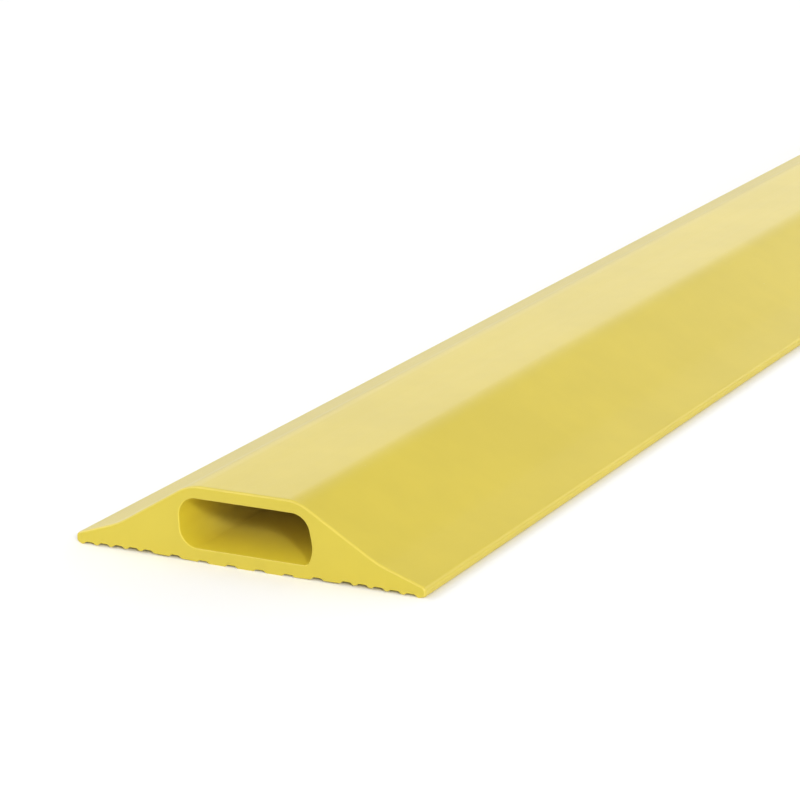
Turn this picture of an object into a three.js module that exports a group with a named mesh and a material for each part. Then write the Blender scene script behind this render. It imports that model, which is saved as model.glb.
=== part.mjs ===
// A length of one-piece rubber cable cover, which is laid on the floor over a cable.
// One extruded section runs its whole length: a flat top, a ramp on each side that
// eases out into a thin wing, a closed channel for the cable, and a grooved underside.
//
// Millimetres. X runs across the cover, Y along it and +Z up. The origin is on the
// floor, under the middle of the cover.

import * as THREE from 'three';

// Overall size
const LENGTH = 1000;
const WIDTH = 83;

// Cable channel, and the rubber above and below it
const CHANNEL_WIDTH = 31;
const CHANNEL_HEIGHT = 10.7;
const CHANNEL_CORNER_RADIUS = 4.1;
const FLOOR_THICKNESS = 3;
const ROOF_THICKNESS = 2.75;

// The channel's +X side bows out: its head and foot stand in, and its belly stands out at a
// height above the channel's floor. The corner at its foot is tighter than the others.
const BELLY = 0.6;
const BELLY_HEIGHT = 3.3;
const BELLY_RADIUS = 8;
const HEAD_INSET = 0.7;
const FOOT_INSET = 0.65;
const FOOT_CORNER_RADIUS = 1.7;

// The flat top ends this far inside the channel's sides, and a round shoulder leads
// down to the ramp
const TOP_INSET = 2.6;
const SHOULDER_RADIUS = 10;

// Wing: from the foot of the ramp to the round tip
const WING_LENGTH = 10.6;
const WING_ROOT_HEIGHT = 5.75;
const RAMP_FOOT_RADIUS = 20;
const TIP_THICKNESS = 2.2;
const TIP_RADIUS = 1.1;

// Grooves of the underside. Wide lands part them under the channel, and thin ribs
// under the ramps and the wings, as far out as the land beside the tip allows.
const GROOVE_WIDTH = 2.9;
const GROOVE_DEPTH = 0.5;
const GROOVE_WALL_ANGLE = THREE.MathUtils.degToRad(45);
const GROOVE_EDGE_RADIUS = 0.6;
const GROOVE_FLOOR_RADIUS = 0.8;
const WIDE_LAND = 3.85;
const THIN_RIB = 0.74;
const TIP_LAND = 0.6;
const WIDE_GROOVES_EACH_SIDE = 3;

// The underside is slightly hollow from this far out to the land beside the tip
const HOLLOW_START = 10;
const HOLLOW_DEPTH = 0.45;

// Each rounded corner is drawn with twice this many straight pieces
const CURVE_SEGMENTS = 3;

const RUBBER_YELLOW = 0xe2d056;

const channelBottom = FLOOR_THICKNESS;
const channelTop = channelBottom + CHANNEL_HEIGHT;
const height = channelTop + ROOF_THICKNESS;

// A corner of an outline that is rounded to the given radius
function corner(x, z, radius) {
  return { point: new THREE.Vector2(x, z), radius };
}

// The arc that rounds one corner, no longer than half of the sides beside it
function cornerArc(before, here, after) {
  const back = before.point.clone().sub(here.point);
  const ahead = after.point.clone().sub(here.point);
  const halfAngle = Math.acos(back.dot(ahead) / (back.length() * ahead.length())) / 2;
  const longestCut = Math.min(back.length(), ahead.length()) / 2;
  const radius = Math.min(here.radius, longestCut * Math.tan(halfAngle));
  const cut = radius / Math.tan(halfAngle);
  const start = back.clone().setLength(cut).add(here.point);
  const end = ahead.clone().setLength(cut).add(here.point);
  const inward = back.clone().normalize().add(ahead.clone().normalize());
  const centre = inward.setLength(radius / Math.sin(halfAngle)).add(here.point);
  return {
    centre,
    radius,
    startAngle: start.sub(centre).angle(),
    endAngle: end.sub(centre).angle(),
    clockwise: ahead.cross(back) < 0,
  };
}

// Draws a closed outline with every corner rounded
function drawRounded(path, corners) {
  corners.forEach((here, index) => {
    const before = corners.at(index - 1);
    const after = corners[(index + 1) % corners.length];
    const arc = cornerArc(before, here, after);
    path.absarc(arc.centre.x, arc.centre.y, arc.radius, arc.startAngle, arc.endAngle, arc.clockwise);
  });
  path.closePath();
  return path;
}

// The middles of the grooves on the +X side, from the middle of the cover outwards
function grooveCentres() {
  const outermost = WIDTH / 2 - TIP_RADIUS - TIP_LAND - GROOVE_WIDTH / 2;
  const centres = [];
  for (let n = 0; n < WIDE_GROOVES_EACH_SIDE; n += 1) {
    centres.push((WIDE_LAND + GROOVE_WIDTH) * (n + 0.5));
  }
  const firstThin = (WIDE_LAND + GROOVE_WIDTH) * (WIDE_GROOVES_EACH_SIDE + 0.5);
  for (let x = firstThin; x <= outermost; x += THIN_RIB + GROOVE_WIDTH) {
    centres.push(x);
  }
  return centres;
}

// How far the underside stands off the floor at a place on the +X side, which follows a
// parabola that is deepest halfway
function hollowAt(x) {
  const end = WIDTH / 2 - TIP_RADIUS - TIP_LAND;
  const share = THREE.MathUtils.clamp((x - HOLLOW_START) / (end - HOLLOW_START), 0, 1);
  return HOLLOW_DEPTH * (1 - (2 * share - 1) ** 2);
}

// The four corners of one groove, from left to right
function grooveCorners(centre) {
  const mouth = GROOVE_WIDTH / 2;
  const floor = mouth - GROOVE_DEPTH / Math.tan(GROOVE_WALL_ANGLE);
  const floorHeight = hollowAt(centre) + GROOVE_DEPTH;
  return [
    corner(centre - mouth, hollowAt(centre - mouth), GROOVE_EDGE_RADIUS),
    corner(centre - floor, floorHeight, GROOVE_FLOOR_RADIUS),
    corner(centre + floor, floorHeight, GROOVE_FLOOR_RADIUS),
    corner(centre + mouth, hollowAt(centre + mouth), GROOVE_EDGE_RADIUS),
  ];
}

// The +X half of the section, from the underside round the tip to the top
function rightHalf() {
  const tip = WIDTH / 2;
  return [
    ...grooveCentres().flatMap(grooveCorners),
    corner(tip, 0, TIP_RADIUS),
    corner(tip, TIP_THICKNESS, TIP_RADIUS),
    corner(tip - WING_LENGTH, WING_ROOT_HEIGHT, RAMP_FOOT_RADIUS),
    corner(CHANNEL_WIDTH / 2 - TOP_INSET, height, SHOULDER_RADIUS),
  ];
}

// The same corners on the -X side, from the top round the tip to the underside
function mirrored(corners) {
  return corners.map(({ point, radius }) => corner(-point.x, point.y, radius)).reverse();
}

// The corners of the cable channel
function channelCorners() {
  const side = CHANNEL_WIDTH / 2;
  return [
    corner(-side, channelBottom, CHANNEL_CORNER_RADIUS),
    corner(side - FOOT_INSET, channelBottom, FOOT_CORNER_RADIUS),
    corner(side + BELLY, channelBottom + BELLY_HEIGHT, BELLY_RADIUS),
    corner(side - HEAD_INSET, channelTop, CHANNEL_CORNER_RADIUS),
    corner(-side, channelTop, CHANNEL_CORNER_RADIUS),
  ];
}

function coverSection() {
  const right = rightHalf();
  const section = drawRounded(new THREE.Shape(), [...right, ...mirrored(right)]);
  section.holes.push(drawRounded(new THREE.Path(), channelCorners()));
  return section;
}

// The section is drawn in X and Z, extruded, and stood up so that it runs along Y
function coverGeometry() {
  const geometry = new THREE.ExtrudeGeometry(coverSection(), {
    depth: LENGTH,
    bevelEnabled: false,
    curveSegments: CURVE_SEGMENTS,
  });
  geometry.rotateX(Math.PI / 2);
  geometry.translate(0, LENGTH / 2, 0);
  return geometry;
}

const rubber = new THREE.MeshStandardMaterial({
  color: RUBBER_YELLOW,
  roughness: 0.5,
  metalness: 0,
});

const cover = new THREE.Mesh(coverGeometry(), rubber);
cover.name = 'cable_cover';

const group = new THREE.Group();
group.add(cover);

export default group;
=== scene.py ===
"""Looks of a length of yellow rubber cable cover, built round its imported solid.

The cover is modelled again with smooth curves and with rounded rims at its cut ends, and it
gets a finish for each kind of surface: the extruded skin, the cut ends, the walls of the
channel and the underside. Metres, X across the cover, Y along it and +Z up from the floor.
"""

from __future__ import annotations

import logging
import math
from dataclasses import dataclass, field
from enum import Enum
from typing import Callable

import bmesh
import bpy
from mathutils import Matrix, Vector


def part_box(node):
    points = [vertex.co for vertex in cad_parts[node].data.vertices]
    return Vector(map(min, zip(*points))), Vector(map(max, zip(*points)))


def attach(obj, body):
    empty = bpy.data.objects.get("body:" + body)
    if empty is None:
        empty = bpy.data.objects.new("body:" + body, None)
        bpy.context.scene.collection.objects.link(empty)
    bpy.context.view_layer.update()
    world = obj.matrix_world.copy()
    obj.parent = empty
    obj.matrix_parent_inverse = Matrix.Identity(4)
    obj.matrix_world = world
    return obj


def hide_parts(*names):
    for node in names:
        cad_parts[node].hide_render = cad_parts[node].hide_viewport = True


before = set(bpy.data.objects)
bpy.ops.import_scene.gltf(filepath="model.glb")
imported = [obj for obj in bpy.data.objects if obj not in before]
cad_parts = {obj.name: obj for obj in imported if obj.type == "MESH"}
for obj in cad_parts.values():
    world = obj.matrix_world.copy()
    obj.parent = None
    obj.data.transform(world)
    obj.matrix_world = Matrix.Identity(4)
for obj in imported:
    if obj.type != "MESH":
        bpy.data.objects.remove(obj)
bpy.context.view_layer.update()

log = logging.getLogger("cable_cover")

MM = 0.001
NODE = "cable_cover"

Colour = tuple[float, float, float]

YELLOW: Colour = (0.655, 0.522, 0.05)
# Painted light: a lighter copy of the rubber's yellow for the channel's walls, to brighten the
# inside of the channel.
CHANNEL_PAINTED_LIGHT_YELLOW: Colour = (0.745, 0.6, 0.042)
# Painted shade: a darker copy of the rubber's yellow for the cut ends, to tone down the light that
# falls on them.
CUT_PAINTED_SHADE_YELLOW: Colour = (0.6, 0.483, 0.047)

MIX_FIRST_INPUT = 6
MIX_SECOND_INPUT = 7
MIX_COLOUR_OUTPUT = 2


class Surface(Enum):
    """The kinds of surface of the cover, in the order of its material slots."""

    SKIN = 0
    CUT = 1
    CHANNEL = 2
    UNDERSIDE = 3


class Side(Enum):
    """The two halves of the section, by the sign of X."""

    RIGHT = 1
    LEFT = -1


@dataclass(frozen=True)
class Corner:
    """A corner of an outline, rounded to a radius, across and up from the floor's middle."""

    across: float
    up: float
    radius: float

    def place(self) -> Vector:
        """The corner's sharp point."""
        return Vector((self.across, self.up))


@dataclass(frozen=True)
class Arc:
    """The round stretch that takes the place of a sharp corner."""

    start: Vector
    centre: Vector
    turn: float


def round_off(before: Vector, corner: Corner, after: Vector) -> Arc:
    """Finds the arc that rounds a corner, no longer than half of the sides beside it.

    Args:
        before: The sharp point before the corner.
        corner: The corner to round.
        after: The sharp point after the corner.

    Returns:
        The arc, with its turn in radians, positive from across towards up.
    """
    here = corner.place()
    back = before - here
    ahead = after - here
    half_angle = back.angle(ahead) / 2
    longest_cut = min(back.length, ahead.length) / 2
    radius = min(corner.radius, longest_cut * math.tan(half_angle))
    cut = radius / math.tan(half_angle)
    inward = (back.normalized() + ahead.normalized()).normalized()
    turn = math.pi - 2 * half_angle
    left_turn = back.x * ahead.y - back.y * ahead.x < 0
    return Arc(
        start=here + back.normalized() * cut,
        centre=here + inward * (radius / math.sin(half_angle)),
        turn=turn if left_turn else -turn,
    )


@dataclass
class Pen:
    """Draws a line of edges in edit mode, by extruding and spinning the selected vertex."""

    station: float
    degrees_a_step: float = 5.0
    at: Vector = field(default_factory=lambda: Vector((0.0, 0.0)))

    def put_down(self, size: float) -> bpy.types.Object:
        """Adds a plane at the start and draws it together to the vertex that is pulled on.

        Args:
            size: The side of the plane that the drawing starts from.

        Returns:
            The new object, in edit mode with its one vertex selected.
        """
        bpy.ops.object.select_all(action="DESELECT")
        bpy.ops.mesh.primitive_plane_add(size=size, location=(self.at.x, self.station, self.at.y))
        bpy.ops.object.transform_apply(location=True, rotation=True, scale=True)
        bpy.ops.object.mode_set(mode="EDIT")
        bpy.ops.mesh.select_mode(type="VERT")
        bpy.ops.mesh.select_all(action="SELECT")
        bpy.ops.mesh.merge(type="CENTER")
        return bpy.context.object

    def line_to(self, point: Vector) -> None:
        """Extrudes a straight edge to a point.

        Args:
            point: Where the edge ends, across and up.
        """
        step = point - self.at
        bpy.ops.mesh.extrude_vertices_move(TRANSFORM_OT_translate={"value": (step.x, 0.0, step.y)})
        self.at = point.copy()

    def arc_round(self, arc: Arc) -> None:
        """Spins the end of the line round an arc.

        Args:
            arc: The arc, which starts where the line ends.
        """
        steps = max(2, round(abs(math.degrees(arc.turn)) / self.degrees_a_step))
        bpy.ops.mesh.spin(
            steps=steps,
            angle=arc.turn,
            center=(arc.centre.x, self.station, arc.centre.y),
            axis=(0.0, 1.0, 0.0),
        )
        spoke = Matrix.Rotation(arc.turn, 2) @ (self.at - arc.centre)
        self.at = arc.centre + spoke

    def trace(self, corners: list[Corner], end: Vector) -> None:
        """Draws on past a row of rounded corners to an end point.

        Args:
            corners: The corners, in order.
            end: Where the line ends.
        """
        start = self.at.copy()
        sharp = [start, *(corner.place() for corner in corners), end]
        for index, corner in enumerate(corners):
            arc = round_off(sharp[index], corner, sharp[index + 2])
            self.line_to(arc.start)
            self.arc_round(arc)
        self.line_to(end)

    def close(self) -> None:
        """Joins the end of the line to its start and fills the outline with one face."""
        mesh = bpy.context.edit_object.data
        shape = bmesh.from_edit_mesh(mesh)
        for vertex in shape.verts:
            vertex.select_set(len(vertex.link_edges) == 1)
        bmesh.update_edit_mesh(mesh)
        bpy.ops.mesh.edge_face_add()
        bpy.ops.mesh.select_all(action="SELECT")
        bpy.ops.mesh.edge_face_add()


@dataclass
class Grooves:
    """The grooves of the underside, with wide lands under the channel and thin ribs outside.

    The underside is slightly hollow on each side, between a start and the tip's flat land.
    """

    hollow_end: float
    hollow_start: float = 10.0 * MM
    hollow_depth: float = 0.45 * MM
    width: float = 2.9 * MM
    depth: float = 0.5 * MM
    wall_angle: float = math.radians(45)
    edge_radius: float = 0.6 * MM
    floor_radius: float = 0.8 * MM
    wide_land: float = 3.85 * MM
    thin_rib: float = 0.74 * MM
    wide_each_side: int = 3

    def hollow_at(self, across: float) -> float:
        """How far the underside stands off the floor.

        Args:
            across: A place on the +X side.

        Returns:
            The height there, 0 outside the hollow.
        """
        share = (across - self.hollow_start) / (self.hollow_end - self.hollow_start)
        share = min(1.0, max(0.0, share))
        return self.hollow_depth * (1.0 - (2.0 * share - 1.0) ** 2)

    def centres(self) -> list[float]:
        """Finds where the grooves of the +X side lie.

        Returns:
            Their middles, from the cover's middle outwards.
        """
        outermost = self.hollow_end - self.width / 2
        wide_pitch = self.wide_land + self.width
        thin_pitch = self.thin_rib + self.width
        places = [wide_pitch * (n + 0.5) for n in range(self.wide_each_side)]
        place = wide_pitch * (self.wide_each_side + 0.5)
        while place <= outermost:
            places.append(place)
            place += thin_pitch
        return places

    def corners(self, centre: float) -> list[Corner]:
        """Shapes one groove.

        Args:
            centre: Where its middle lies.

        Returns:
            Its four corners, from its inner side to its outer side.
        """
        mouth = self.width / 2
        floor = mouth - self.depth / math.tan(self.wall_angle)
        floor_height = self.hollow_at(centre) + self.depth
        return [
            Corner(centre - mouth, self.hollow_at(centre - mouth), self.edge_radius),
            Corner(centre - floor, floor_height, self.floor_radius),
            Corner(centre + floor, floor_height, self.floor_radius),
            Corner(centre + mouth, self.hollow_at(centre + mouth), self.edge_radius),
        ]


@dataclass
class Section:
    """The section of the cover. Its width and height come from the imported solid."""

    width: float
    height: float
    channel_width: float = 31.0 * MM
    channel_corner_radius: float = 4.1 * MM
    floor_thickness: float = 3.0 * MM
    roof_thickness: float = 2.75 * MM
    belly: float = 0.6 * MM
    belly_height: float = 3.3 * MM
    belly_radius: float = 8.0 * MM
    head_inset: float = 0.7 * MM
    foot_inset: float = 0.65 * MM
    foot_corner_radius: float = 1.7 * MM
    top_inset: float = 2.6 * MM
    shoulder_radius: float = 10.0 * MM
    wing_length: float = 10.6 * MM
    wing_root_height: float = 5.75 * MM
    ramp_foot_radius: float = 20.0 * MM
    tip_thickness: float = 2.2 * MM
    tip_radius: float = 1.1 * MM
    tip_land: float = 0.6 * MM
    tolerance: float = 0.02 * MM
    end_facing: float = 0.9

    @property
    def grooves(self) -> Grooves:
        """The grooves of the underside, out to the land beside the tip."""
        return Grooves(hollow_end=self.flat_half - self.tip_land)

    @property
    def channel_top(self) -> float:
        """Height of the channel's ceiling above the floor."""
        return self.height - self.roof_thickness

    @property
    def flat_half(self) -> float:
        """Half the width of the underside, between the round tips."""
        return self.width / 2 - self.tip_radius

    def outer_corners(self, side: Side) -> list[Corner]:
        """Shapes the outside of one half.

        Args:
            side: Which half.

        Returns:
            The corners, from the underside round the tip to the top.
        """
        tip = self.width / 2
        right = [
            *(corner for x in self.grooves.centres() for corner in self.grooves.corners(x)),
            Corner(tip, 0.0, self.tip_radius),
            Corner(tip, self.tip_thickness, self.tip_radius),
            Corner(tip - self.wing_length, self.wing_root_height, self.ramp_foot_radius),
            Corner(self.channel_width / 2 - self.top_inset, self.height, self.shoulder_radius),
        ]
        return [Corner(side.value * corner.across, corner.up, corner.radius) for corner in right]

    def channel_corners(self, side: Side) -> list[Corner]:
        """Shapes one half of the channel.

        The +X side bows out, and the corner at its foot is tighter than the others.

        Args:
            side: Which half.

        Returns:
            The corners, from the channel's ceiling to its floor.
        """
        wall = side.value * self.channel_width / 2
        radius = self.channel_corner_radius
        if side is Side.LEFT:
            return [
                Corner(wall, self.channel_top, radius),
                Corner(wall, self.floor_thickness, radius),
            ]
        belly_up = self.floor_thickness + self.belly_height
        return [
            Corner(wall - self.head_inset, self.channel_top, radius),
            Corner(wall + self.belly, belly_up, self.belly_radius),
            Corner(wall - self.foot_inset, self.floor_thickness, self.foot_corner_radius),
        ]

    def surface_at(self, place: Vector, normal: Vector) -> Surface:
        """Tells which kind of surface a face belongs to.

        Args:
            place: The middle of the face.
            normal: The face's normal.

        Returns:
            The kind of surface.
        """
        if abs(normal.y) > self.end_facing:
            return Surface.CUT
        near = self.tolerance
        across = abs(place.x)
        between = self.floor_thickness - near < place.z < self.channel_top + near
        if across < self.channel_width / 2 + self.belly and between:
            return Surface.CHANNEL
        under = self.grooves.depth + self.grooves.hollow_depth
        if across < self.flat_half + near and place.z < under + near:
            return Surface.UNDERSIDE
        return Surface.SKIN


@dataclass
class Wiring:
    """A node tree, with the calls that fill it."""

    tree: bpy.types.NodeTree
    column: int = 0
    rows: int = 3
    step_across: int = 180
    step_down: int = 160

    def add(self, kind: str, inputs: dict | None = None, **settings: object) -> bpy.types.Node:
        """Adds a node, sets it and wires it.

        Args:
            kind: Blender's name of the node's type.
            inputs: Values or output sockets for its inputs, by name or number.
            **settings: The node's own properties.

        Returns:
            The new node.
        """
        node = self.tree.nodes.new(kind)
        row = self.column % self.rows
        node.location = (self.column * self.step_across, -row * self.step_down)
        self.column += 1
        for name, value in settings.items():
            setattr(node, name, value)
        for name, value in (inputs or {}).items():
            if isinstance(value, bpy.types.NodeSocket):
                self.tree.links.new(value, node.inputs[name])
            else:
                node.inputs[name].default_value = value
        return node

    def weigh(self, share: float, first: object, second: object) -> bpy.types.NodeSocket:
        """Adds up two values, of which the first counts for a share and the second for the rest.

        Args:
            share: What the first counts for, from 0 to 1.
            first: A value or socket.
            second: A value or socket.

        Returns:
            The sum.
        """
        counted = self.math("MULTIPLY", first, share)
        rest = self.math("MULTIPLY", second, 1.0 - share)
        return self.math("ADD", counted, rest)

    def math(self, operation: str, first: object, second: object = 0.0) -> bpy.types.NodeSocket:
        """Works out one sum of two values or sockets."""
        node = self.add("ShaderNodeMath", {0: first, 1: second}, operation=operation)
        return node.outputs[0]

    def spread(self, value: object, low: float, high: float) -> bpy.types.NodeSocket:
        """Maps a mask between two limits to 0 and 1, with soft ends.

        Args:
            value: The socket to map.
            low: What becomes 0.
            high: What becomes 1.

        Returns:
            The mapped socket.
        """
        node = self.add(
            "ShaderNodeMapRange",
            {"Value": value, "From Min": low, "From Max": high},
            interpolation_type="SMOOTHSTEP",
        )
        return node.outputs["Result"]

    def noise(self, vector: object, scale: object, detail: float = 2.0) -> bpy.types.NodeSocket:
        """A noise value between 0 and 1, of a scale in features per metre."""
        node = self.add(
            "ShaderNodeTexNoise", {"Vector": vector, "Scale": scale, "Detail": detail}
        )
        return node.outputs["Fac"]

    def stretched(self, vector: object, scale: object) -> bpy.types.NodeSocket:
        """The coordinates with each axis scaled by itself."""
        node = self.add("ShaderNodeMapping", {"Vector": vector, "Scale": scale})
        return node.outputs["Vector"]

    def mix(self, share: object, first: object, second: object) -> bpy.types.NodeSocket:
        """Mixes two colours, where a share of 0 gives the first and 1 the second."""
        inputs = {"Factor": share, MIX_FIRST_INPUT: first, MIX_SECOND_INPUT: second}
        return self.add("ShaderNodeMix", inputs, data_type="RGBA").outputs[MIX_COLOUR_OUTPUT]

    def effect(self, group: bpy.types.NodeTree, inputs: dict) -> bpy.types.NodeSocket:
        """Places a node group.

        Args:
            group: The group.
            inputs: Values or output sockets for its inputs, by name.

        Returns:
            The group's one output.
        """
        return self.add("ShaderNodeGroup", inputs, node_tree=group).outputs[0]


@dataclass(frozen=True)
class Socket:
    """A named input or output of a node group."""

    name: str
    kind: str = "NodeSocketFloat"
    value: float | None = None


def make_group(
    name: str,
    inputs: list[Socket],
    outputs: list[Socket],
    fill: Callable[[Wiring, bpy.types.Node, bpy.types.Node], None],
) -> bpy.types.NodeTree:
    """Builds a shader node group.

    Args:
        name: The group's name.
        inputs: Its input sockets.
        outputs: Its output sockets.
        fill: Adds the nodes between the group's input and output nodes.

    Returns:
        The finished group.
    """
    tree = bpy.data.node_groups.new(name, "ShaderNodeTree")
    for in_out, sockets in (("INPUT", inputs), ("OUTPUT", outputs)):
        for socket in sockets:
            made = tree.interface.new_socket(socket.name, in_out=in_out, socket_type=socket.kind)
            if socket.value is not None:
                made.default_value = socket.value
    wiring = Wiring(tree)
    source = wiring.add("NodeGroupInput")
    target = wiring.add("NodeGroupOutput")
    fill(wiring, source, target)
    return tree


@dataclass(frozen=True)
class RubberEffects:
    """The effects that the finishes share, each a node group."""

    mottle: bpy.types.NodeTree
    lines: bpy.types.NodeTree
    grain: bpy.types.NodeTree
    specks: bpy.types.NodeTree
    rim: bpy.types.NodeTree

    @classmethod
    def build(cls) -> RubberEffects:
        """Builds every group once.

        Returns:
            The groups.
        """
        place = Socket("Place", "NodeSocketVector")
        mask = [Socket("Mask")]
        height = [Socket("Height")]
        return cls(
            mottle=make_group(
                "rubber_mottle",
                [place, Socket("Patch Size", value=0.03)],
                mask,
                cls._fill_mottle,
            ),
            lines=make_group(
                "drawn_lines",
                [
                    place,
                    Socket("Line Width", value=0.001),
                    Socket("Stretch", "NodeSocketVector"),
                ],
                height,
                cls._fill_lines,
            ),
            grain=make_group(
                "rubber_grain",
                [place, Socket("Grain Size", value=0.0004)],
                height,
                cls._fill_grain,
            ),
            specks=make_group(
                "dust_specks",
                [place, Socket("Spacing", value=0.012), Socket("Speck Size", value=0.0003)],
                mask,
                cls._fill_specks,
            ),
            rim=make_group(
                "cut_rim",
                [place, Socket("Half Length", value=0.5), Socket("Reach", value=0.001)],
                mask,
                cls._fill_rim,
            ),
        )

    @staticmethod
    def _fill_mottle(wiring: Wiring, source: bpy.types.Node, target: bpy.types.Node) -> None:
        """Soft patches, large ones with smaller ones inside.

        Args:
            wiring: The group's nodes.
            source: The group's input node.
            target: The group's output node.
        """
        times_finer = 5.0
        large_share = 0.7
        darkest, lightest = 0.3, 0.7
        place = source.outputs["Place"]
        scale = wiring.math("DIVIDE", 1.0, source.outputs["Patch Size"])
        large = wiring.noise(place, scale, detail=3.0)
        small = wiring.noise(place, wiring.math("MULTIPLY", scale, times_finer))
        mixed = wiring.weigh(large_share, large, small)
        patches = wiring.spread(mixed, darkest, lightest)
        wiring.tree.links.new(patches, target.inputs["Mask"])

    @staticmethod
    def _fill_lines(wiring: Wiring, source: bpy.types.Node, target: bpy.types.Node) -> None:
        """Faint parallel lines, long on the axis that the stretch makes small.

        Args:
            wiring: The group's nodes.
            source: The group's input node.
            target: The group's output node.
        """
        coarser_scale = 0.22
        fine_share = 0.5
        along = wiring.stretched(source.outputs["Place"], source.outputs["Stretch"])
        scale = wiring.math("DIVIDE", 1.0, source.outputs["Line Width"])
        fine = wiring.noise(along, scale)
        wide = wiring.noise(along, wiring.math("MULTIPLY", scale, coarser_scale), detail=1.0)
        mixed = wiring.weigh(fine_share, fine, wide)
        wiring.tree.links.new(mixed, target.inputs["Height"])

    @staticmethod
    def _fill_grain(wiring: Wiring, source: bpy.types.Node, target: bpy.types.Node) -> None:
        """The fine matt grain of moulded rubber.

        Args:
            wiring: The group's nodes.
            source: The group's input node.
            target: The group's output node.
        """
        scale = wiring.math("DIVIDE", 1.0, source.outputs["Grain Size"])
        grain = wiring.noise(source.outputs["Place"], scale, detail=3.0)
        wiring.tree.links.new(grain, target.inputs["Height"])

    @staticmethod
    def _fill_specks(wiring: Wiring, source: bpy.types.Node, target: bpy.types.Node) -> None:
        """Sparse specks of dust, one in each cell at most.

        Args:
            wiring: The group's nodes.
            source: The group's input node.
            target: The group's output node.
        """
        solid_part = 0.5
        scale = wiring.math("DIVIDE", 1.0, source.outputs["Spacing"])
        cells = wiring.add(
            "ShaderNodeTexVoronoi", {"Vector": source.outputs["Place"], "Scale": scale}
        )
        size = wiring.math("MULTIPLY", source.outputs["Speck Size"], scale)
        inside = wiring.math("DIVIDE", cells.outputs["Distance"], size)
        speck = wiring.math("SUBTRACT", 1.0, wiring.spread(inside, solid_part, 1.0))
        wiring.tree.links.new(speck, target.inputs["Mask"])

    @staticmethod
    def _fill_rim(wiring: Wiring, source: bpy.types.Node, target: bpy.types.Node) -> None:
        """A band that fades from the cut ends along the length.

        Args:
            wiring: The group's nodes.
            source: The group's input node.
            target: The group's output node.
        """
        axes = wiring.add("ShaderNodeSeparateXYZ", {"Vector": source.outputs["Place"]})
        along = wiring.math("ABSOLUTE", axes.outputs["Y"])
        inside = wiring.math("SUBTRACT", source.outputs["Half Length"], along)
        share = wiring.math("DIVIDE", inside, source.outputs["Reach"])
        fade = wiring.math("SUBTRACT", 1.0, wiring.spread(share, 0.0, 1.0))
        wiring.tree.links.new(fade, target.inputs["Mask"])


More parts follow.
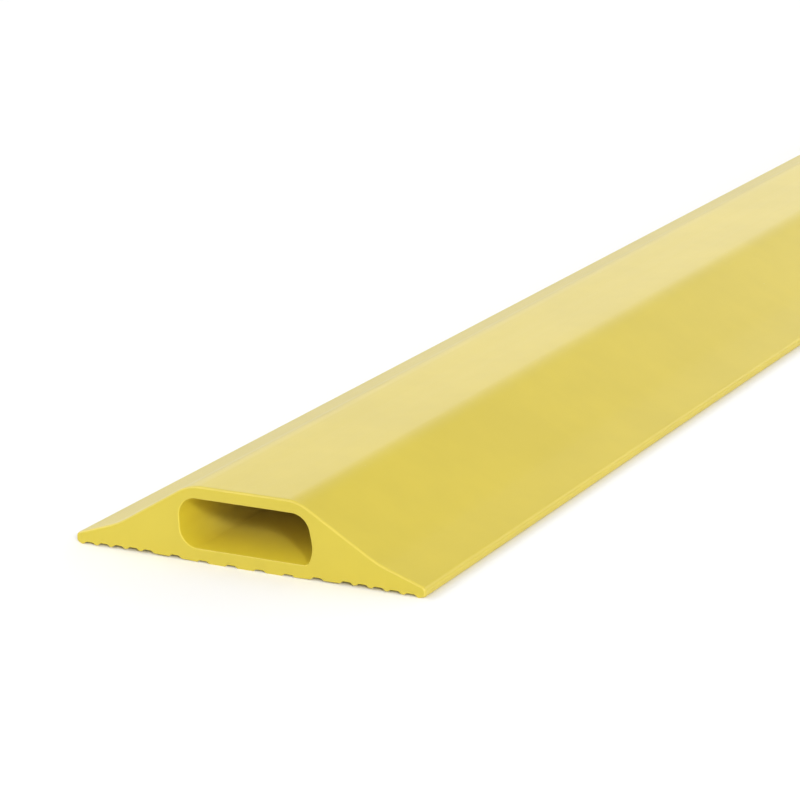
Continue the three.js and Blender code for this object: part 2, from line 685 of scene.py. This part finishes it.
@dataclass(frozen=True)
class RubberFinish:
    """One finish of the same yellow rubber."""

    name: str
    colour: Colour
    roughness: float
    patch_size: float = 35.0 * MM
    patch_depth: float = 0.03
    line_width: float = 0.9 * MM
    line_stretch: tuple[float, float, float] = (1.0, 0.004, 1.0)
    line_height: float = 0.02 * MM
    grain_size: float = 0.35 * MM
    grain_height: float = 0.01 * MM
    roughness_spread: float = 0.08
    dust_colour: Colour = (0.74, 0.7, 0.55)
    dust_spacing: float = 9.0 * MM
    dust_size: float = 0.2 * MM
    dust_strength: float = 0.35
    # The rim fields paint a highlight: the colour turns paler in a band at each cut end, standing
    # in for light caught on the rounded rims.
    painted_highlight_paleness: float = 0.25
    painted_highlight_lift: float = 0.1
    painted_highlight_reach: float = 1.2 * MM
    gloss: float = 0.5
    # Painted shade: away from the cut ends the colour is mixed towards a darker, browner tone,
    # standing in for the shade deep inside the channel.
    painted_shade_colour: Colour = (0.62, 0.52, 0.26)
    painted_shade_share: float = 0.0
    unshaded_reach: float = 46.0 * MM

    def material(self, effects: RubberEffects, half_length: float) -> bpy.types.Material:
        """Builds the material.

        Args:
            effects: The shared node groups.
            half_length: Half the cover's length, where its cut ends lie.

        Returns:
            The finished material.
        """
        made = bpy.data.materials.new(self.name)
        made.use_nodes = True
        made.node_tree.nodes.clear()
        made.diffuse_color = (*self.colour, 1.0)
        wiring = Wiring(made.node_tree)
        place = wiring.add("ShaderNodeTexCoord").outputs["Object"]
        lines = wiring.effect(
            effects.lines,
            {"Place": place, "Line Width": self.line_width, "Stretch": self.line_stretch},
        )
        grain = wiring.effect(effects.grain, {"Place": place, "Grain Size": self.grain_size})
        rubber = wiring.add(
            "ShaderNodeBsdfPrincipled",
            {
                "Base Color": self._colour(wiring, effects, place, half_length),
                "Roughness": self._roughness(wiring, lines, grain),
                "Normal": self._normal(wiring, lines, grain),
                "Specular IOR Level": self.gloss,
            },
        )
        wiring.add("ShaderNodeOutputMaterial", {"Surface": rubber.outputs["BSDF"]})
        return made

    def _colour(
        self,
        wiring: Wiring,
        effects: RubberEffects,
        place: bpy.types.NodeSocket,
        half_length: float,
    ) -> bpy.types.NodeSocket:
        """Mixes patches, a painted highlight at the cut ends, painted shade deep in the channel
        and specks of dust into the rubber's colour.

        Args:
            wiring: The material's nodes.
            effects: The shared node groups.
            place: The object coordinates.
            half_length: Half the cover's length.

        Returns:
            The colour.
        """
        patches = wiring.effect(effects.mottle, {"Place": place, "Patch Size": self.patch_size})
        darker = shade(self.colour, 1.0 - self.patch_depth)
        lighter = shade(self.colour, 1.0 + self.patch_depth)
        mottled = wiring.mix(patches, darker, lighter)
        # Painted highlight: a paler colour in a band at the cut ends stands in for the light that
        # the rounded rims catch.
        rim = wiring.effect(
            effects.rim,
            {"Place": place, "Half Length": half_length, "Reach": self.painted_highlight_reach},
        )
        kept = 1.0 - self.painted_highlight_paleness
        pale = tuple(1.0 - kept * (1.0 - channel) for channel in self.colour)
        with_painted_light = wiring.mix(wiring.math("MULTIPLY", rim, self.painted_highlight_lift), mottled, (*pale, 1.0))
        # Painted shade: where a finish has a share of it (the channel's walls), the colour turns
        # darker and browner away from the cut ends, standing in for the shade deep inside the
        # channel.
        if self.painted_shade_share > 0.0:
            unshaded = wiring.effect(
                effects.rim,
                {"Place": place, "Half Length": half_length, "Reach": self.unshaded_reach},
            )
            painted_shade = wiring.math("SUBTRACT", 1.0, unshaded)
            share = wiring.math("MULTIPLY", painted_shade, self.painted_shade_share)
            with_painted_light = wiring.mix(share, with_painted_light, (*self.painted_shade_colour, 1.0))
        specks = wiring.effect(
            effects.specks,
            {"Place": place, "Spacing": self.dust_spacing, "Speck Size": self.dust_size},
        )
        share = wiring.math("MULTIPLY", specks, self.dust_strength)
        return wiring.mix(share, with_painted_light, (*self.dust_colour, 1.0))

    def _roughness(
        self, wiring: Wiring, lines: bpy.types.NodeSocket, grain: bpy.types.NodeSocket
    ) -> bpy.types.NodeSocket:
        """Varies the roughness a little with the fine relief.

        Args:
            wiring: The material's nodes.
            lines: The height of the lines.
            grain: The height of the grain.

        Returns:
            The roughness.
        """
        unevenness = wiring.math("SUBTRACT", wiring.math("ADD", lines, grain), 1.0)
        offset = wiring.math("MULTIPLY", unevenness, self.roughness_spread)
        return wiring.math("ADD", offset, self.roughness)

    def _normal(
        self, wiring: Wiring, lines: bpy.types.NodeSocket, grain: bpy.types.NodeSocket
    ) -> bpy.types.NodeSocket:
        """Adds the fine heights up and turns them into a normal.

        Args:
            wiring: The material's nodes.
            lines: The height of the lines.
            grain: The height of the grain.

        Returns:
            The normal.
        """
        height = wiring.math(
            "ADD",
            wiring.math("MULTIPLY", lines, self.line_height),
            wiring.math("MULTIPLY", grain, self.grain_height),
        )
        bump = wiring.add("ShaderNodeBump", {"Height": height, "Distance": 1.0})
        return bump.outputs["Normal"]


FINISHES = {
    # The skin and the underside take the default painted highlight in a band at the cut ends.
    Surface.SKIN: RubberFinish("rubber_skin", YELLOW, roughness=0.33),
    Surface.CUT: RubberFinish(
        "rubber_cut",
        # Darker copy of the yellow: painted shade on the cut ends.
        CUT_PAINTED_SHADE_YELLOW,
        roughness=0.55,
        line_width=0.7 * MM,
        line_stretch=(1.0, 1.0, 0.08),
        line_height=0.03 * MM,
        grain_size=0.25 * MM,
        painted_highlight_lift=0.0,
    ),
    Surface.CHANNEL: RubberFinish(
        "rubber_channel_wall",
        # Lighter copy of the yellow: painted light on the channel's walls.
        CHANNEL_PAINTED_LIGHT_YELLOW,
        roughness=0.5,
        line_width=0.6 * MM,
        line_height=0.03 * MM,
        gloss=0.3,
        # Painted shade deep inside the channel, away from its cut ends.
        painted_shade_share=0.8,
        # Painted highlight along the channel's rims at the cut ends.
        painted_highlight_lift=0.15,
        painted_highlight_reach=0.5 * MM,
    ),
    Surface.UNDERSIDE: RubberFinish(
        "rubber_underside",
        YELLOW,
        roughness=0.6,
        dust_spacing=4.0 * MM,
        dust_strength=0.6,
    ),
}


@dataclass
class CableCover:
    """The cover: its section drawn out to its length, with rounded rims at its cut ends."""

    section: Section
    length: float
    rim: float = 0.6 * MM
    channel_rim: float = 0.25 * MM
    rim_steps: int = 4
    shortest_edge: float = 0.03 * MM
    smooth_angle: float = math.radians(35)

    def build(self) -> bpy.types.Object:
        """Models the cover.

        Returns:
            The finished piece, at the origin with its place in its mesh.
        """
        cover = self._join(self._trace_half(Side.RIGHT), self._trace_half(Side.LEFT))
        self._draw_out()
        self._mark_rims()
        bpy.ops.object.mode_set(mode="OBJECT")
        self._round_rims(cover)
        bpy.ops.object.shade_smooth_by_angle(angle=self.smooth_angle)
        self._flatten_shading(cover)
        cover.name = "cover_strip"
        cover.data.name = "cover_strip"
        return cover

    def dress(self, cover: bpy.types.Object, effects: RubberEffects) -> None:
        """Gives every face the finish of its kind of surface.

        Args:
            cover: The piece.
            effects: The shared node groups.
        """
        for surface in Surface:
            cover.data.materials.append(FINISHES[surface].material(effects, self.length / 2))
        for face in cover.data.polygons:
            face.material_index = self.section.surface_at(face.center, face.normal).value

    def _trace_half(self, side: Side) -> bpy.types.Object:
        """Draws one half of the section at the near end and fills it.

        Args:
            side: Which half.

        Returns:
            The flat half.
        """
        section = self.section
        pen = Pen(station=-self.length / 2)
        half = pen.put_down(size=section.height)
        pen.trace(section.outer_corners(side), Vector((0.0, section.height)))
        pen.line_to(Vector((0.0, section.channel_top)))
        pen.trace(section.channel_corners(side), Vector((0.0, section.floor_thickness)))
        pen.close()
        bpy.ops.object.mode_set(mode="OBJECT")
        return half

    def _join(self, kept: bpy.types.Object, added: bpy.types.Object) -> bpy.types.Object:
        """Joins the two halves at the middle and leaves them in edit mode.

        Args:
            kept: The half that stays as the piece.
            added: The half that goes into it.

        Returns:
            The joined section.
        """
        bpy.ops.object.select_all(action="DESELECT")
        added.select_set(True)
        kept.select_set(True)
        bpy.context.view_layer.objects.active = kept
        bpy.ops.object.join()
        bpy.ops.object.mode_set(mode="EDIT")
        bpy.ops.mesh.select_all(action="SELECT")
        bpy.ops.mesh.remove_doubles(threshold=self.shortest_edge)
        bpy.ops.mesh.normals_make_consistent(inside=False)
        return kept

    def _draw_out(self) -> None:
        """Extrudes the section along the whole length."""
        bpy.ops.mesh.select_mode(type="FACE")
        bpy.ops.mesh.select_all(action="SELECT")
        bpy.ops.mesh.extrude_region_move(
            TRANSFORM_OT_translate={"value": (0.0, self.length, 0.0)}
        )
        bpy.ops.mesh.select_all(action="SELECT")
        bpy.ops.mesh.normals_make_consistent(inside=False)

    def _mark_rims(self) -> None:
        """Marks the rims of both cut ends, wide ones outside and narrow ones round the channel."""
        mesh = bpy.context.edit_object.data
        shape = bmesh.from_edit_mesh(mesh)
        marks = shape.edges.layers.float.new("bevel_weight_edge")
        for edge in shape.edges:
            beside = self._surfaces_beside(edge)
            if Surface.CUT not in beside:
                continue
            if Surface.SKIN in beside:
                edge[marks] = 1.0
            elif Surface.CHANNEL in beside:
                edge[marks] = self.channel_rim / self.rim
        bmesh.update_edit_mesh(mesh)

    def _round_rims(self, cover: bpy.types.Object) -> None:
        """Rounds the marked rims.

        Args:
            cover: The piece, in object mode.
        """
        bpy.ops.object.modifier_add(type="BEVEL")
        rounding = cover.modifiers[-1]
        rounding.width = self.rim
        rounding.segments = self.rim_steps
        rounding.limit_method = "WEIGHT"
        rounding.use_clamp_overlap = False
        bpy.ops.object.modifier_apply(modifier=rounding.name)

    def _flatten_shading(self, cover: bpy.types.Object) -> None:
        """Lets the large faces set the normals at their edges, so that only the rims curve.

        Args:
            cover: The piece, in object mode and shaded smooth.
        """
        bpy.ops.object.modifier_add(type="WEIGHTED_NORMAL")
        weighting = cover.modifiers[-1]
        weighting.keep_sharp = True
        bpy.ops.object.modifier_apply(modifier=weighting.name)

    def _surfaces_beside(self, edge: bmesh.types.BMEdge) -> set[Surface]:
        """The kinds of surface on the two sides of an edge."""
        return {
            self.section.surface_at(face.calc_center_median(), face.normal)
            for face in edge.link_faces
        }


@dataclass(frozen=True)
class SoftLight:
    """A soft box that hangs beside the camera and faces the near end."""

    name: str
    azimuth: float
    elevation: float
    distance: float
    width: float
    height: float
    power: float
    colour: Colour = (1.0, 1.0, 1.0)

    def hang(self, target: Vector) -> None:
        """Hangs the light.

        Args:
            target: What it faces.
        """
        away = direction(self.azimuth, self.elevation)
        bpy.ops.object.light_add(type="AREA", location=target + away * self.distance)
        lamp = bpy.context.object
        lamp.name = self.name
        lamp.rotation_euler = away.to_track_quat("Z", "Y").to_euler()
        lamp.data.shape = "RECTANGLE"
        lamp.data.size = self.width
        lamp.data.size_y = self.height
        lamp.data.energy = self.power
        lamp.data.color = self.colour


@dataclass(frozen=True)
class GlowingWall:
    """A far, softly lit part of the studio's walls or ceiling, without hard edges.

    It is full between the two elevations of its body, fades out to the two elevations of its
    reach, and in the same way to the sides of its azimuth. All are in degrees.
    """

    strength: float
    reach: tuple[float, float]
    body: tuple[float, float]
    azimuth: float = 0.0
    body_width: float = 360.0
    reach_width: float = 360.0

    def glow(self, wiring: Wiring, ray: bpy.types.Node) -> bpy.types.NodeSocket:
        """Works out how brightly it glows along a ray.

        Args:
            wiring: The sky's nodes.
            ray: The node that splits the ray's direction into its axes.

        Returns:
            The brightness.
        """
        up = ray.outputs["Z"]
        low, full, still_full, high = (
            math.sin(math.radians(angle)) for angle in (self.reach[0], *self.body, self.reach[1])
        )
        glow = wiring.math("MULTIPLY", wiring.spread(up, low, full), self.strength)
        if high > still_full:
            above = wiring.math("SUBTRACT", 1.0, wiring.spread(up, still_full, high))
            glow = wiring.math("MULTIPLY", glow, above)
        if self.body_width < self.reach_width:
            glow = wiring.math("MULTIPLY", glow, self._beside(wiring, ray))
        return glow

    def _beside(self, wiring: Wiring, ray: bpy.types.Node) -> bpy.types.NodeSocket:
        """Works out how well a ray's azimuth fits.

        Args:
            wiring: The sky's nodes.
            ray: The node that splits the ray's direction into its axes.

        Returns:
            A share from 0 to 1.
        """
        towards = direction(self.azimuth, 0.0)
        level = wiring.add("ShaderNodeCombineXYZ", {"X": ray.outputs["X"], "Y": ray.outputs["Y"]})
        ahead = wiring.add("ShaderNodeVectorMath", {0: level.outputs[0]}, operation="NORMALIZE")
        aligned = wiring.add(
            "ShaderNodeVectorMath", {0: ahead.outputs[0], 1: towards}, operation="DOT_PRODUCT"
        )
        edge, full = (
            math.cos(math.radians(width / 2)) for width in (self.reach_width, self.body_width)
        )
        return wiring.spread(aligned.outputs["Value"], edge, full)


@dataclass
class Studio:
    """A pale floor between softly glowing walls, with a soft box on the camera's side."""

    floor_side: float = 40.0
    floor_colour: Colour = (0.96, 0.96, 0.96)
    floor_roughness: float = 0.9
    floor_patches_per_metre: float = 1.5
    floor_unevenness: float = 0.005
    key: SoftLight = SoftLight(
        "key_box", azimuth=45, elevation=25, distance=6, width=0.7, height=0.7, power=153
    )
    walls: tuple[GlowingWall, ...] = (
        GlowingWall(
            strength=1.9,
            reach=(3, 46),
            body=(6, 7),
            azimuth=212,
            body_width=70,
            reach_width=150,
        ),
        GlowingWall(
            strength=3.4,
            reach=(20, 60),
            body=(39, 41),
            azimuth=300,
            body_width=70,
            reach_width=140,
        ),
        GlowingWall(
            strength=1.85,
            reach=(0, 40),
            body=(19, 21),
            azimuth=75,
            body_width=130,
            reach_width=210,
        ),
        GlowingWall(strength=0.6, reach=(40, 90), body=(58, 90)),
    )

    def build(self, target: Vector) -> None:
        """Sets up floor, walls and key light.

        Args:
            target: What the key light faces.
        """
        self._lay_floor()
        self._light_walls()
        self.key.hang(target)
        bpy.context.scene.view_settings.view_transform = "Standard"

    def _lay_floor(self) -> None:
        """Lays the floor that the cover rests on."""
        bpy.ops.object.select_all(action="DESELECT")
        bpy.ops.mesh.primitive_plane_add(size=self.floor_side, location=(0.0, 0.0, 0.0))
        floor = bpy.context.object
        floor.name = "studio_floor"
        paper = bpy.data.materials.new("pale_paper")
        paper.use_nodes = True
        wiring = Wiring(paper.node_tree)
        place = wiring.add("ShaderNodeTexCoord").outputs["Object"]
        patches = wiring.noise(place, self.floor_patches_per_metre)
        darker = shade(self.floor_colour, 1.0 - self.floor_unevenness)
        lighter = shade(self.floor_colour, 1.0 + self.floor_unevenness)
        tint = wiring.mix(patches, darker, lighter)
        principled = paper.node_tree.nodes["Principled BSDF"]
        paper.node_tree.links.new(tint, principled.inputs["Base Color"])
        principled.inputs["Roughness"].default_value = self.floor_roughness
        floor.data.materials.append(paper)

    def _light_walls(self) -> None:
        """Lights the scene from its far walls and its ceiling."""
        room = bpy.data.worlds.new("studio_room")
        room.use_nodes = True
        bpy.context.scene.world = room
        wiring = Wiring(room.node_tree)
        towards = wiring.add("ShaderNodeTexCoord").outputs["Generated"]
        ray = wiring.add("ShaderNodeSeparateXYZ", {"Vector": towards})
        glows = [wall.glow(wiring, ray) for wall in self.walls]
        strength = glows[0]
        for glow in glows[1:]:
            strength = wiring.math("ADD", strength, glow)
        background = room.node_tree.nodes["Background"]
        room.node_tree.links.new(strength, background.inputs["Strength"])
        background.inputs["Color"].default_value = (1.0, 1.0, 1.0, 1.0)


@dataclass
class PhotoCamera:
    """The camera of the photograph, placed from the middle of the near end's foot."""

    right: float = 302.44 * MM
    back: float = 478.6 * MM
    up: float = 200.84 * MM
    turn: float = math.radians(29.009)
    tilt: float = math.radians(16.349)
    roll: float = math.radians(-1.66)
    lens: float = 132.65
    sensor: float = 36.0
    nearest: float = 0.01
    farthest: float = 100.0

    def build(self, near_end: Vector) -> None:
        """Sets the camera up and makes it the scene's camera.

        Args:
            near_end: The middle of the near end's foot.
        """
        bpy.ops.object.camera_add(location=near_end + Vector((self.right, -self.back, self.up)))
        camera = bpy.context.object
        camera.name = "photo_camera"
        facing = (
            Matrix.Rotation(self.turn, 3, "Z")
            @ Matrix.Rotation(math.pi / 2 - self.tilt, 3, "X")
            @ Matrix.Rotation(self.roll, 3, "Z")
        )
        camera.rotation_euler = facing.to_euler()
        camera.data.sensor_width = self.sensor
        camera.data.lens = self.lens
        camera.data.clip_start = self.nearest
        camera.data.clip_end = self.farthest
        bpy.context.scene.camera = camera


def shade(colour: Colour, factor: float) -> tuple[float, float, float, float]:
    """A colour made lighter or darker, with full alpha.

    Args:
        colour: Red, green and blue.
        factor: What each is multiplied by.

    Returns:
        Red, green, blue and alpha.
    """
    red, green, blue = (min(1.0, channel * factor) for channel in colour)
    return (red, green, blue, 1.0)


def direction(azimuth: float, elevation: float) -> Vector:
    """The way to a place round the object.

    Args:
        azimuth: Degrees from the front (-Y) towards +X.
        elevation: Degrees above the horizon.

    Returns:
        A vector of length 1.
    """
    around, above = math.radians(azimuth), math.radians(elevation)
    level = math.cos(above)
    return Vector((math.sin(around) * level, -math.cos(around) * level, math.sin(above)))


def main() -> None:
    """Builds the camera, the studio and the cover, in that order."""
    logging.basicConfig(level=logging.INFO, format="%(name)s: %(message)s")
    low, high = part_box(NODE)
    near_end = Vector(((low.x + high.x) / 2, low.y, low.z))
    PhotoCamera().build(near_end)
    Studio().build(near_end)
    section = Section(width=high.x - low.x, height=high.z - low.z)
    cover = CableCover(section=section, length=high.y - low.y)
    strip = cover.build()
    cover.dress(strip, RubberEffects.build())
    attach(strip, "root")
    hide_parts(NODE)
    log.info("%s: %d faces", strip.name, len(strip.data.polygons))


if __name__ == "__main__":
    main()
